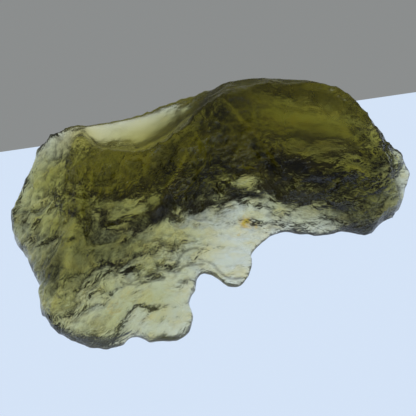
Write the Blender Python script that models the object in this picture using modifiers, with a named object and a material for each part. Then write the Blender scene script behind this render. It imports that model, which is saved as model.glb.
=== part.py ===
"""A moldavite: one shard of green natural glass, hollowed by smooth scoops and etched all over with pits.

The stone is a wedge. It is tall at the back, where a sharp crest parts the scoops, and thins to a
see-through skirt at the front. It lies on small flats worn into its underside.

It is made as a slab of the stone's outline. A film stretched over ridge lines gives the slab its
upper surface and another gives it the lower one. The skin is then sculpted, and the flats are cut.

Blender units are metres. The lists below are millimetres in the stone's own plan: +X to its right tip,
+Y to its back, +Z up from the flats that it lies on.
"""

import math

import bmesh
import bpy
import numpy as np
from mathutils import Vector, noise
from mathutils.bvhtree import BVHTree
from mathutils.kdtree import KDTree

MM = 0.001

# The area of the plan that the height grids cover, and how finely each film is worked out in turn.
LEFT, RIGHT = -20.0, 20.5
FRONT, BACK = -15.5, 15.5
GRID_STEPS = (1.0, 0.5, 0.25)
RELAXATIONS = (200, 200, 400)
DEPTH_PULL = 0.6  # how strongly a soft depth draws the film to it

SLAB = 1.2  # thickness of the first slab, before the films give it its own
SLAB_GRAIN = 0.3
WELD = 0.01
GRAIN = 0.24  # spacing of the points whose heights are sculpted
THINNEST = 0.35
FACES = 9400
CUT_SIDE, CUT_DEPTH = 60.0, 4.0  # the block below the flats that is cut away
NOISE_SEED = 7  # fixes how the sculpture wanders

# Sculpture: size of the bowls, height of their ridges, how drawn out they are.
SCALLOPS = (
    (3.4, 0.34, 1.5),
    (1.7, 0.24, 1.7),
)
HIDDEN_SCALLOPS = (8.0, 0.55, 1.3)  # larger ones, on the back and the underside only
FLOW_LEFT, FLOW_RIGHT = 62.0, 6.0  # degrees that furrows rise by, at the left tip and towards the right
FLOW_START, FLOW_SPAN = -16.0, 24.0  # where along the stone that turn begins, and how long it takes
EDGE_BAND = 1.6  # how far in from the outline the sculpture reaches its full height
OUTLINE_POINT = 0.4  # spacing of the outline's points when that distance is measured
EDGE_SHARE = 0.2  # share of that height which is left at the outline itself
THIN_SHARE = 0.12  # the highest that any one size of bowl may stand, as a share of the thickness there
CLEAR_OF_SURFACE = 0.02  # where the look inwards from a point starts

GLASS_COLOUR = (0.32, 0.36, 0.10, 1.0)
GLASS_ROUGHNESS = 0.25
GLASS_IOR = 1.49

# Outline seen from above, clockwise from the left tip: x, y, height of its lower edge, height of its upper edge.
OUTLINE = (
    (-18.1, -0.1, 0.4, 2.2),
    (-17.4, 2.1, 0.8, 2.6),
    (-16.6, 4.6, 1.6, 3.4),
    (-16.3, 6.5, 2.6, 4.2),
    (-15.4, 7.2, 4.0, 5.0),
    (-14.0, 7.6, 5.0, 6.0),
    (-12.4, 7.6, 5.7, 6.5),
    (-11.6, 8.0, 5.6, 6.3),
    (-9.1, 8.7, 5.5, 6.3),
    (-7.4, 9.2, 5.5, 6.3),
    (-5.5, 9.8, 5.6, 6.5),
    (-3.6, 10.6, 5.8, 7.0),
    (-1.9, 11.1, 5.8, 7.2),
    (-0.6, 11.6, 5.6, 7.2),
    (1.0, 12.1, 4.8, 6.8),
    (3.4, 12.8, 3.8, 5.8),
    (5.8, 13.2, 3.2, 5.2),
    (8.4, 13.3, 2.8, 5.0),
    (10.8, 13.0, 2.8, 5.0),
    (13.0, 12.2, 2.8, 4.8),
    (14.8, 10.9, 2.8, 4.4),
    (16.4, 9.4, 2.8, 4.2),
    (17.8, 7.7, 2.8, 3.8),
    (18.7, 6.2, 2.4, 3.2),
    (19.0, 4.6, 1.9, 2.6),
    (18.5, 3.0, 1.2, 2.0),
    (18.1, 1.9, 0.6, 1.6),
    (17.4, 1.2, 0.4, 2.2),
    (16.4, 0.6, 0.3, 2.0),
    (15.0, -0.5, -0.2, 1.7),
    (12.7, -0.3, -0.1, 1.3),
    (11.1, -1.0, 0.2, 0.9),
    (8.5, -0.7, 0.2, 1.0),
    (6.6, -0.9, 0.3, 1.0),
    (5.2, -2.0, 0.3, 1.0),
    (4.1, -3.4, 0.3, 1.0),
    (3.9, -5.0, 0.3, 1.0),
    (3.4, -6.5, 0.3, 0.9),
    (2.8, -7.2, 0.3, 0.9),
    (1.5, -7.1, 0.3, 1.0),
    (0.3, -5.9, 0.3, 1.2),
    (-0.9, -5.8, 0.3, 1.2),
    (-1.0, -7.1, 0.3, 1.2),
    (-1.6, -9.4, 0.3, 1.2),
    (-1.4, -11.0, 0.3, 1.2),
    (-2.0, -12.8, 0.3, 1.2),
    (-4.0, -13.5, 0.3, 1.3),
    (-6.3, -12.8, 0.0, 1.6),
    (-8.3, -13.8, -0.1, 1.6),
    (-10.3, -13.4, -0.1, 1.6),
    (-12.7, -12.3, 0.3, 1.6),
    (-14.3, -9.8, 0.1, 1.7),
    (-14.5, -7.9, 0.1, 1.7),
    (-15.2, -6.4, 0.1, 1.7),
    (-16.4, -3.8, 0.2, 1.9),
    (-17.7, -1.6, 0.3, 2.1),
)

# Ridges of the upper side, each a line that two scoops share: x, y, z.
TOP_RIDGES = {
    "crest": (
        (-12.3, 5.6, 6.8),
        (-10.0, 3.6, 7.0),
        (-7.2, 2.7, 7.2),
        (-4.8, 3.0, 7.8),
        (-2.0, 4.9, 8.6),
        (-0.4, 6.9, 9.8),
        (2.8, 7.9, 10.0),
        (5.0, 9.4, 10.0),
        (7.2, 9.4, 9.8),
        (11.0, 10.7, 9.3),
    ),
    "back rim": (
        (-0.6, 11.6, 7.3),
        (0.7, 11.3, 8.0),
        (2.1, 11.2, 8.6),
        (3.8, 11.0, 9.3),
        (7.3, 11.0, 9.2),
        (11.0, 10.9, 9.2),
        (13.3, 10.7, 8.0),
        (14.8, 9.9, 7.0),
        (15.4, 8.8, 6.2),
        (15.9, 6.7, 5.8),
        (16.5, 4.5, 5.2),
        (17.0, 2.7, 4.3),
        (17.4, 1.7, 3.0),
    ),
    "fin": (
        (-12.3, 5.6, 6.8),
        (-11.7, 2.3, 6.4),
        (-11.5, -1.0, 5.8),
        (-11.3, -3.3, 5.4),
        (-11.8, -4.7, 4.8),
        (-12.0, -6.3, 4.2),
        (-12.1, -7.9, 3.7),
        (-12.5, -9.8, 3.0),
        (-12.9, -10.9, 2.4),
    ),
    "ledge": (
        (-11.5, -1.0, 5.8),
        (-9.4, -2.9, 4.2),
        (-7.8, -2.7, 4.3),
        (-6.9, -2.3, 4.5),
        (-5.8, -2.1, 4.5),
        (-4.7, -1.9, 4.8),
        (-4.3, -1.2, 5.2),
        (-3.7, -0.3, 5.6),
        (-2.4, 2.0, 6.8),
        (-1.0, 4.6, 8.2),
    ),
    "step": (
        (1.4, 7.4, 9.3),
        (2.9, 6.5, 8.2),
        (4.3, 5.3, 7.8),
        (5.5, 4.1, 6.8),
        (6.6, 3.6, 6.6),
        (7.9, 3.5, 6.6),
        (8.8, 3.3, 6.5),
        (9.7, 2.7, 6.2),
        (12.0, 3.0, 6.0),
        (14.7, 2.0, 5.0),
        (17.0, 2.7, 4.3),
    ),
    "fin foot": (
        (-10.1, -4.4, 3.2),
        (-10.4, -6.2, 2.8),
        (-10.7, -8.0, 2.4),
        (-11.4, -9.6, 2.1),
    ),
    "flake foot": (
        (16.0, 9.0, 4.9),
        (16.5, 6.9, 4.5),
        (17.1, 4.7, 3.8),
        (17.5, 3.1, 3.0),
    ),
    "ledge back": (
        (-9.4, -0.8, 4.6),
        (-8.0, -0.5, 4.4),
        (-6.6, -0.2, 4.5),
        (-5.3, 0.5, 4.9),
        (-4.5, 1.6, 5.6),
    ),
    "ledge foot": (
        (-9.3, -3.2, 3.5),
        (-7.8, -3.0, 3.5),
        (-6.9, -2.6, 3.7),
        (-5.7, -2.4, 3.8),
        (-4.4, -2.2, 4.0),
        (-3.9, -1.4, 4.3),
        (-3.3, -0.5, 4.8),
    ),
    "step foot": (
        (4.2, 4.6, 6.7),
        (5.5, 3.5, 5.7),
        (6.6, 3.0, 5.5),
        (7.9, 2.9, 5.5),
        (8.8, 2.7, 5.4),
        (9.7, 2.1, 5.1),
        (12.0, 2.3, 4.8),
    ),
    "bench back": (
        (1.5, 3.3, 4.1),
        (2.8, 3.1, 4.0),
        (3.9, 3.0, 4.0),
        (5.0, 2.7, 4.1),
    ),
    "bench": (
        (1.3, 2.4, 3.9),
        (2.6, 2.2, 3.8),
        (3.8, 2.1, 3.8),
        (5.0, 2.1, 3.9),
    ),
    "bench foot": (
        (1.6, 2.0, 3.0),
        (2.7, 1.8, 2.9),
        (3.9, 1.7, 2.9),
        (5.1, 1.7, 3.0),
    ),
    "slope foot": (
        (-3.3, -2.2, 2.6),
        (-0.7, 0.4, 2.1),
        (0.6, 1.2, 2.1),
        (2.9, 1.2, 2.1),
        (4.9, 0.6, 1.9),
        (7.5, 1.0, 1.9),
        (10.2, 1.2, 2.0),
        (12.0, 0.6, 1.9),
    ),
    "front rim": (
        (-12.9, -10.9, 2.4),
        (-11.5, -12.2, 2.0),
        (-9.0, -13.0, 1.9),
        (-7.4, -12.6, 1.8),
        (-6.2, -12.0, 1.6),
        (-4.6, -12.7, 1.4),
    ),
}

# Soft depths of the upper side: x, y, z and the radius over which the surface is drawn to it.
TOP_DEPTHS = {
    "dish": (-6.0, 6.2, 4.8, 2.2),
    "dish right": (-2.0, 8.4, 5.8, 1.8),
    "dish left": (-9.6, 6.2, 5.1, 1.4),
    "middle hollow": (-7.2, 0.8, 4.6, 1.2),
    "front bowl": (-9.0, -6.4, 2.9, 1.3),
    "front bowl floor": (-7.2, -9.8, 2.8, 2.2),
    "front bowl right": (-5.0, -6.2, 3.0, 1.6),
    "lobe": (-3.8, -9.8, 2.3, 1.6),
    "shelf": (1.4, -3.0, 1.5, 2.0),
    "shelf left": (-1.8, -4.6, 1.8, 1.2),
    "shelf right": (4.4, -1.4, 1.5, 1.0),
    "right hollow": (9.5, 6.2, 6.2, 2.4),
    "left face": (-14.8, -1.0, 3.2, 1.6),
    "left face upper": (-14.6, 4.0, 4.6, 1.4),
    "flake": (17.7, 5.6, 3.7, 0.8),
}
TOP_SAG = 0.10  # curvature of the film, per millimetre

# Smooth faces: middle x, y, z, radius, and how smooth.
SMOOTH_PATCHES = {
    "dish": (-5.0, 7.5, 5.2, 4.0, 0.9),
    "dish right": (0.0, 9.5, 6.6, 3.0, 0.8),
    "right hollow": (9.0, 7.0, 7.0, 4.2, 0.9),
    "right hollow far": (13.0, 6.5, 6.0, 2.6, 0.7),
    "top edge": (3.6, 11.0, 9.3, 2.6, 0.9),
    "top edge right": (8.4, 11.0, 9.2, 2.8, 0.8),
    "top edge corner": (13.4, 10.6, 8.0, 2.2, 0.7),
    "crest": (-8.6, 3.2, 7.1, 1.6, 0.6),
    "fin": (-11.9, -4.0, 5.0, 1.8, 0.8),
    "fin foot": (-12.2, -7.6, 3.9, 1.8, 0.8),
    "ledge": (-6.6, -2.2, 4.3, 1.9, 0.7),
    "ledge left": (-9.2, -2.8, 4.2, 1.5, 0.7),
    "ledge right": (-4.3, -1.4, 5.0, 1.6, 0.6),
    "shelf": (1.4, -3.4, 0.9, 3.2, 0.35),
    "lobe": (-3.6, -10.2, 1.2, 2.6, 0.35),
    "floor of front bowl": (-8.0, -9.8, 1.8, 2.6, 0.3),
    "back of dish": (-5.0, 9.6, 3.0, 4.5, 0.85),
    "under right hollow": (9.5, 7.5, 1.5, 4.0, 0.8),
}

# The underside: the flat lies at zero, and scoops rise from it.
UNDER_RIDGES = {
    "keel": (
        (-14.2, 3.6, 1.2),
        (-12.0, 4.4, 0.6),
        (-9.4, 5.9, 0.1),
        (-6.5, 7.0, -0.2),
        (-3.0, 8.5, -0.3),
        (0.0, 10.0, -0.4),
        (3.0, 11.4, -0.4),
        (6.0, 12.0, -0.3),
        (9.5, 11.9, 0.1),
        (12.5, 11.4, 0.4),
        (15.0, 9.4, 0.9),
        (16.6, 7.2, 1.4),
    ),
}
UNDER_DEPTHS = {
    "under bowl": (-8.0, -7.6, 0.5, 1.5),
    "under bowl back": (-7.6, -3.4, 0.2, 1.4),
    "under ledge": (-6.5, 2.4, 1.2, 1.8),
    "under slope": (2.2, 5.4, 1.8, 1.7),
    "under rim": (-8.0, -11.4, 0.1, 1.2),
    "under right": (10.5, 4.8, 0.5, 2.2),
    "under shelf": (1.4, -3.6, 0.3, 1.8),
    "under flake": (17.2, 6.0, 2.9, 1.1),
    "under left": (-13.5, -2.0, 0.6, 1.6),
    "under right front": (15.2, 2.6, 0.2, 1.4),
}
UNDER_SAG = -0.03


def curve_points(line, spacing):
    """Evenly close points along a smooth curve through the line's points, as an array."""
    knots = np.array(line, float)
    padded = np.concatenate([[2 * knots[0] - knots[1]], knots, [2 * knots[-1] - knots[-2]]])
    found = []
    for a, b, c, d in zip(padded, padded[1:], padded[2:], padded[3:]):
        count = max(2, math.ceil(float(np.linalg.norm((c - b)[:2])) / spacing))
        t = (np.arange(count) / count)[:, None]
        bend = (2 * a - 5 * b + 4 * c - d) * t**2 + (3 * b - a - 3 * c + d) * t**3
        found.append(b + ((c - a) * t + bend) / 2)
    return np.concatenate([*found, knots[-1:]])


def film(lines, depths, sag):
    """Heights, on the finest grid, of a film held by the lines, drawn to the depths and sagging in between."""
    heights = None
    for step, rounds in zip(GRID_STEPS, RELAXATIONS):
        xs = np.arange(LEFT, RIGHT + step / 2, step)
        ys = np.arange(FRONT, BACK + step / 2, step)
        total = np.zeros((len(xs), len(ys)))
        hits = np.zeros_like(total)
        for line in lines:
            dense = curve_points(line, step / 3)
            column = np.rint((dense[:, 0] - LEFT) / step).astype(int)
            row = np.rint((dense[:, 1] - FRONT) / step).astype(int)
            np.add.at(total, (column, row), dense[:, 2])
            np.add.at(hits, (column, row), 1)
        held = hits > 0
        wanted = total[held] / hits[held]
        pull = np.zeros_like(total)
        aim = np.zeros_like(total)
        for x, y, z, radius in depths.values():
            away = (xs[:, None] - x) ** 2 + (ys[None, :] - y) ** 2
            near = np.exp(-away / radius**2) * DEPTH_PULL * step**2
            pull += near
            aim += near * z
        if heights is None:
            heights = np.full_like(total, wanted.mean())
        else:
            heights = on_grid(heights, xs, ys, 2 * step)
        heights[held] = wanted
        for _ in range(rounds):
            around = np.pad(heights, 1, mode="edge")
            beside = around[:-2, 1:-1] + around[2:, 1:-1] + around[1:-1, :-2] + around[1:-1, 2:]
            heights = (beside + aim - sag * step**2) / (4 + pull)
            heights[held] = wanted
    return heights


def sampled(heights, x, y, step):
    """Heights read off a grid between its points."""
    across = np.clip((np.asarray(x) - LEFT) / step, 0, heights.shape[0] - 1.001)
    along = np.clip((np.asarray(y) - FRONT) / step, 0, heights.shape[1] - 1.001)
    i, j = across.astype(int), along.astype(int)
    u, v = across - i, along - j
    near = heights[i, j] * (1 - v) + heights[i, j + 1] * v
    far = heights[i + 1, j] * (1 - v) + heights[i + 1, j + 1] * v
    return near * (1 - u) + far * u


def on_grid(heights, xs, ys, step):
    x, y = np.meshgrid(xs, ys, indexing="ij")
    return sampled(heights, x, y, step)


def closed_line(points):
    return (*points, points[0])


def films():
    """The upper and the lower surface as grids of heights."""
    lower_line = closed_line([(x, y, low) for x, y, low, high in OUTLINE])
    upper_line = closed_line([(x, y, high) for x, y, low, high in OUTLINE])
    top = film([upper_line, *TOP_RIDGES.values()], TOP_DEPTHS, TOP_SAG)
    under = film([lower_line, *UNDER_RIDGES.values()], UNDER_DEPTHS, UNDER_SAG)
    return top, under


def slab():
    """The outline as a filled curve, extruded."""
    curve = bpy.data.curves.new("outline", "CURVE")
    curve.dimensions = "2D"
    curve.fill_mode = "BOTH"
    curve.resolution_u = 4
    curve.extrude = SLAB / 2 * MM
    spline = curve.splines.new("BEZIER")
    spline.bezier_points.add(len(OUTLINE) - 1)
    spline.use_cyclic_u = True
    for point, (x, y, *_) in zip(spline.bezier_points, OUTLINE):
        point.co = (x * MM, y * MM, 0)
        point.handle_left_type = point.handle_right_type = "AUTO"
    guide = bpy.data.objects.new("outline", curve)
    bpy.context.scene.collection.objects.link(guide)
    bpy.context.view_layer.update()
    mesh = bpy.data.meshes.new_from_object(guide.evaluated_get(bpy.context.evaluated_depsgraph_get()))
    bpy.data.objects.remove(guide)
    shape = bmesh.new()
    shape.from_mesh(mesh)
    bmesh.ops.remove_doubles(shape, verts=shape.verts, dist=WELD * MM)
    bmesh.ops.recalc_face_normals(shape, faces=shape.faces)
    shape.to_mesh(mesh)
    shape.free()
    return mesh


def lift(stone, top, under):
    """Gives the slab the two films for its skins."""
    step = GRID_STEPS[-1]
    for vertex in stone.data.vertices:
        x, y, z = vertex.co / MM
        low = float(sampled(under, x, y, step))
        high = max(float(sampled(top, x, y, step)), low + THINNEST)
        share = min(1.0, max(0.0, z / SLAB + 0.5))
        vertex.co.z = (low + (high - low) * share) * MM


def worked_out(stone, name):
    """Replaces the stone's mesh with what its modifiers make of it."""
    bpy.context.view_layer.update()
    graph = bpy.context.evaluated_depsgraph_get()
    mesh = bpy.data.meshes.new_from_object(stone.evaluated_get(graph))
    mesh.name = name
    stone.modifiers.clear()
    stone.data = mesh


def remeshed(stone, name, grain):
    remesh = stone.modifiers.new(name, "REMESH")
    remesh.mode = "VOXEL"
    remesh.voxel_size = grain * MM
    worked_out(stone, name)


def flow(x):
    """The way that furrows run at this x: steep on the left face, nearly level at the right."""
    share = min(1.0, max(0.0, (x - FLOW_START) / FLOW_SPAN))
    turn = math.radians(FLOW_LEFT + (FLOW_RIGHT - FLOW_LEFT) * share)
    return Vector((math.cos(turn), 0.8 * math.sin(turn), 0.6 * math.sin(turn))).normalized()


def scallops(p, size, stretch):
    """Bowls that meet in sharp ridges, drawn out along the flow: about -1 in a bowl and +1 on a ridge."""
    along = flow(p.x)
    wandering = p + noise.noise_vector(p / (2.2 * size)) * 0.6 * size
    squeezed = wandering - along * wandering.dot(along) * (1 - 1 / stretch)
    nearest = noise.voronoi(squeezed / size)[0][0]
    return 3.2 * nearest**2 - 0.9


def roughness(p):
    """How deep the sculpture is here: 1 in general, near 0 on the stone's few smooth faces."""
    left = 1.0
    for x, y, z, radius, calm in SMOOTH_PATCHES.values():
        reach = (p - Vector((x, y, z))).length_squared / radius**2
        left *= 1 - calm * math.exp(-reach)
    return left


def wall_thickness(tree, p, normal):
    """How far the stone reaches inwards from this point of its surface."""
    start = p - normal * CLEAR_OF_SURFACE * MM
    hit = tree.ray_cast(start, -normal)[3]
    return hit / MM if hit else 0.0


def relief(p, normal, most):
    """Height of the sculpture here, in millimetres, with no size of bowl deeper than the most given."""
    height = sum(min(deep, most) * scallops(p, size, stretch) for size, deep, stretch in SCALLOPS)
    turned_away = min(1.0, max(0.0, 1.6 * max(-normal.z, normal.y) - 0.3))
    size, deep, stretch = HIDDEN_SCALLOPS
    return (height + turned_away * min(deep, most) * scallops(p, size, stretch)) * roughness(p)


def outline_tree():
    """The outline's points in the plan, for telling how near an edge a place is."""
    loop = curve_points(closed_line(OUTLINE), OUTLINE_POINT)
    tree = KDTree(len(loop))
    for k, (x, y, *_) in enumerate(loop):
        tree.insert((x, y, 0), k)
    tree.balance()
    return tree


def sculpt(stone):
    """Moves every point in or out along its normal by the relief, less where the stone is thin."""
    mesh = stone.data
    tree = BVHTree.FromPolygons([v.co for v in mesh.vertices], [p.vertices for p in mesh.polygons])
    outline = outline_tree()
    moved = []
    for vertex in mesh.vertices:
        normal = vertex.normal.copy()
        p = vertex.co / MM
        most = THIN_SHARE * wall_thickness(tree, vertex.co, normal)
        from_edge = outline.find((p.x, p.y, 0))[2]
        share = EDGE_SHARE + (1 - EDGE_SHARE) * min(1.0, from_edge / EDGE_BAND)
        moved.append(vertex.co + normal * share * relief(p, normal, most) * MM)
    for vertex, place in zip(mesh.vertices, moved):
        vertex.co = place


def floor_cut(stone, helpers):
    """Takes off everything below the flat, so that the stone rests on it."""
    mesh = bpy.data.meshes.new("floor")
    block = bmesh.new()
    bmesh.ops.create_cube(block, size=1)
    bmesh.ops.scale(block, vec=(CUT_SIDE * MM, CUT_SIDE * MM, CUT_DEPTH * MM), verts=block.verts)
    bmesh.ops.translate(block, vec=(0, 0, -CUT_DEPTH / 2 * MM), verts=block.verts)
    block.to_mesh(mesh)
    block.free()
    floor = bpy.data.objects.new("floor", mesh)
    floor.hide_render = True
    floor.display_type = "WIRE"
    helpers.objects.link(floor)
    cut = stone.modifiers.new("flat", "BOOLEAN")
    cut.operation = "DIFFERENCE"
    cut.solver = "EXACT"
    cut.object = floor
    worked_out(stone, "flat")


def thinned(stone, faces):
    """Fewer triangles: the flattest parts give up theirs first."""
    stone.data.calc_loop_triangles()
    thin = stone.modifiers.new("thin", "DECIMATE")
    thin.ratio = faces / len(stone.data.loop_triangles)
    thin.use_collapse_triangulate = True
    worked_out(stone, "thin")


def centred(stone):
    """Moves the mesh so that the middle of its box's lower side is the origin."""
    at = np.array([tuple(v.co) for v in stone.data.vertices])
    low, high = at.min(axis=0), at.max(axis=0)
    for vertex in stone.data.vertices:
        vertex.co.x -= (low[0] + high[0]) / 2
        vertex.co.y -= (low[1] + high[1]) / 2


def glass():
    material = bpy.data.materials.new("moldavite glass")
    material.use_nodes = True
    surface = material.node_tree.nodes["Principled BSDF"]
    surface.inputs["Base Color"].default_value = GLASS_COLOUR
    surface.inputs["Metallic"].default_value = 0.0
    surface.inputs["Roughness"].default_value = GLASS_ROUGHNESS
    surface.inputs["IOR"].default_value = GLASS_IOR
    surface.inputs["Transmission Weight"].default_value = 1.0
    return material


def main():
    for old in list(bpy.data.objects):
        bpy.data.objects.remove(old)
    stone_parts = bpy.data.collections.new("moldavite")
    helpers = bpy.data.collections.new("cutters")
    bpy.context.scene.collection.children.link(stone_parts)
    bpy.context.scene.collection.children.link(helpers)
    noise.seed_set(NOISE_SEED)
    top, under = films()
    stone = bpy.data.objects.new("moldavite", slab())
    stone_parts.objects.link(stone)
    remeshed(stone, "slab", SLAB_GRAIN)
    lift(stone, top, under)
    remeshed(stone, "lifted", GRAIN)
    sculpt(stone)
    remeshed(stone, "sculpted", GRAIN)
    thinned(stone, FACES)
    floor_cut(stone, helpers)
    centred(stone)
    stone.data.shade_smooth()
    stone.data.materials.clear()
    stone.data.materials.append(glass())


main()
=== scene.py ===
"""A moldavite: one shard of olive-green natural glass, lying on a pale luminous sheet.

The stone is made again here with the outline, ridge lines and depths of its solid, on finer grids, and takes
the solid's place. Its skin is then sculpted down to pits and wrinkles of a few tenths of a millimetre. Its
glass is clear and takes up more light the longer its way through is: thin edges are nearly colourless, and
the thick middle is dark olive.

Blender units are metres. The lengths below are millimetres, in the stone's own plan: +X to its right tip,
+Y to its back, +Z up from the flats that it lies on. Angles are degrees.
"""

import math

import bmesh
import bpy
import numpy as np
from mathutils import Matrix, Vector, noise
from mathutils.bvhtree import BVHTree
from mathutils.kdtree import KDTree

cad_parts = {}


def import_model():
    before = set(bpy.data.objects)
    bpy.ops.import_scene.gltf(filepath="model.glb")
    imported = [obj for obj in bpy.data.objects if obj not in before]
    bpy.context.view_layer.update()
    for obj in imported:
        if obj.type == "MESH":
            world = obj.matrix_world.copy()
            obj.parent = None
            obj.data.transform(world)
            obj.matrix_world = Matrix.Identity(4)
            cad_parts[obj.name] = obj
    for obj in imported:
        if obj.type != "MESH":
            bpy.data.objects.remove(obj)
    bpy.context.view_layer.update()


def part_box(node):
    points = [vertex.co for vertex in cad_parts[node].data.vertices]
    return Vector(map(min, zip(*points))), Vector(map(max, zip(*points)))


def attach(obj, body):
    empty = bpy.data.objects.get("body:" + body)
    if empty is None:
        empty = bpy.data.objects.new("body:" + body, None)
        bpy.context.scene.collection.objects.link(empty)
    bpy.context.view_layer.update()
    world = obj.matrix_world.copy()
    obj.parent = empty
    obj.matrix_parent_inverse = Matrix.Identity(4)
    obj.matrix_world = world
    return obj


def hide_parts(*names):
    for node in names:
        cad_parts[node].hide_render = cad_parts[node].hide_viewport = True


MM = 0.001  # metres

# The area of the plan that the height grids cover, and the steps of the grids that a film is worked out on.
LEFT, RIGHT = -20.0, 20.5
FRONT, BACK = -15.5, 15.5
GRID_STEPS = (1.0, 0.5, 0.25, 0.125)
RELAXATIONS = (200, 200, 400, 300)  # rounds on each of these grids
POINTS_PER_STEP = 3  # of a ridge line, on a grid
DEPTH_PULL = 0.6  # how strongly a soft depth draws the film to it
INSIDE_GRID = 1.001  # keeps a place within the last cell of a grid

OUTLINE_STEPS = 4  # straight pieces between two points of the outline
SLAB = 1.2  # thickness of the first slab, before the films give it its own
SLAB_GRAIN = 0.3  # spacing of its points
WELD = 0.01  # points closer than this become one
GRAIN = 0.16  # spacing of the points whose heights are sculpted
THINNEST = 0.35  # the least thickness that the films leave it
NOISE_SEED = 7  # fixes how the sculpture wanders

# Sculpture: size of the bowls, height of their ridges, how drawn out they are.
SCALLOPS = (
    (3.4, 0.34, 1.5),
    (1.7, 0.24, 1.7),
    (0.9, 0.15, 1.9),
    (0.45, 0.09, 1.6),
)
HIDDEN_SCALLOPS = (8.0, 0.55, 1.3)  # larger ones, on the back and the underside only
HIDDEN_RISE, HIDDEN_LESS = 1.6, 0.3  # how quickly those come in as a face turns down or back, and how late
SCALLOP_HEIGHT, SCALLOP_FLOOR = 3.2, -0.9  # how steeply a bowl rises, and its floor, in heights of a ridge
SCALLOP_TURNS, SCALLOP_SHIFT = 2.2, 0.6  # size of the turns that bowls follow, and how far, in bowls
FINE_SIZE, FINE_BELOW = 1.0, 0.4  # bowls smaller than this are fine: the underside has this share of them
UPPER_START = -0.6  # upward part of a face's normal from which it counts as the upper side
FLOW_LEFT, FLOW_RIGHT = 62.0, 6.0  # degrees that furrows rise by, at the left tip and towards the right
FLOW_BACK, FLOW_UP = 0.8, 0.6  # how that rise is shared between the stone's back and its height
FLOW_START, FLOW_SPAN = -16.0, 24.0  # where along the stone that turn begins, and how long it takes
EDGE_BAND = 1.6  # how far in from the outline the sculpture reaches its full height
OUTLINE_POINT = 0.4  # spacing of the outline's points when that distance is measured
EDGE_SHARE = 0.4  # share of that height which is left at the outline itself
THIN_SHARE = 0.12  # the highest that any one size of bowl may stand, as a share of the thickness there
CLEAR_OF_SURFACE = 0.02  # where the look inwards from a point starts
POINTS_PER_WIDTH = 4  # of a crease or a ridge line, in one width of it
LINE_RISE, LINE_START = 2.0, 0.3  # how quickly and how early such lines come in as a face turns upwards

# The finest pits, which are in the pattern of the glass: their size, and their depth.
PITS = ((0.34, 0.12), (0.16, 0.05))
PIT_STRETCH = 1.8
PIT_WANDER = ((1.3, 0.4), (0.5, 0.14))  # size and strength of the turns that they follow
# Painted shade in thin dark lines between scales of glass, for the shade of wrinkles: size of the scales,
# width of the line as a share of it, darkness.
WRINKLE_SHADE = ((0.9, 0.07, 0.5), (0.45, 0.10, 0.6), (0.22, 0.16, 0.4))
WRINKLE_PATCH = 1.6  # size of the patches that wrinkles come and go in, in sizes of the scales
WRINKLE_START, WRINKLE_FULL = 0.48, 0.66  # where in such a patch they begin, and are darkest
PATCH_DETAIL = 4.0  # how finely the edges of patches are broken up
HOLLOW_ROUNDS = 8  # how widely the surface is smoothed to tell its hollows from its ridges
HOLLOW_DARK, HOLLOW_CLEAR = -0.05, 0.0  # height over the smoothed surface where the painted shade is full, and none
HOLLOW_SHADE = 0.5  # how much painted shade a hollow holds
RIDGE_LIT, RIDGE_SHARE = 0.05, 0.4  # height where a ridge of a shaded face loses its painted shade, as a painted highlight, and how much
BOWL_SHADE_SCALLOP, BOWL_SHADE_EDGE = 2, 0.2  # the scallops whose bowls hold the painted shade of such a face, and where it ends
# How far a place is from the middles of its pits, added up: where the painted shade is full, and where it is
# least.
PIT_FLOOR, PIT_RIM = 0.85, 1.3
PIT_RIM_SHADE = 0.68  # what the ridges between pits hold of the painted shade in the pits
# The near-black of all the painted shade, mixed into the base colour of the glass.
PAINTED_SHADE_COLOUR = (0.008, 0.008, 0.006)

# Iron: a thin film in soft patches everywhere, and stains with torn edges.
IRON_FILM_COLOUR = (1.0, 0.86, 0.5)
IRON_FILM_SIZE = 1.1
IRON_FILM_START, IRON_FILM_FULL = 0.45, 0.75  # where in such a patch the film begins, and is full
IRON_COLOUR = (1.0, 0.55, 0.03)
STAIN_TEAR_SIZE = 0.275
STAIN_TEAR_LOW, STAIN_TEAR_HIGH = 0.3, 0.7  # the values of that pattern that tear a stain most, and least
STAIN_TEAR = 0.3  # how much of a stain's strength it takes or adds
STAIN_START, STAIN_FULL = 0.25, 0.9  # the strength where a stain begins to show, and is full

# Glass: what it takes up of red, green and blue light, per metre.
ABSORPTION = (212.0, 232.0, 575.0)
DENSITY = 700.0  # what it would take up if it were black, more than any of these
GLASS_IOR = 1.49
ROUGH_SHINE, CALM_SHINE = 0.13, 0.32  # roughness of the sculptured and of the smooth faces

# Camera: it looks along +Y, tilted down, at a point above the middle of the plan.
TILT = 45.0
LENS, SENSOR = 90.0, 36.0
DISTANCE = 94.8
AIM_HEIGHT = 3.0
NEAREST = 1.0  # what is closer to the camera than this isn't drawn

# The luminous sheet, with two points of its slanting far edge, and the grey ground beyond it.
SHEET_EDGE = ((-20.9, 11.0), (22.3, 20.6))
SHEET_HALF_WIDTH = 32.0
SHEET_FRONT = -32.0
SHEET_DROP = 0.03  # how far it lies below the stone
SHEET_COLOUR = (0.66, 0.77, 0.93)
BEYOND_COLOUR = (0.26, 0.27, 0.27)
BEYOND_DROP = 3.0
BEYOND_HALF_WIDTH = 600.0
SKY_COLOUR = (0.5, 0.52, 0.55)
SKY_STRENGTH = 0.35

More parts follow.
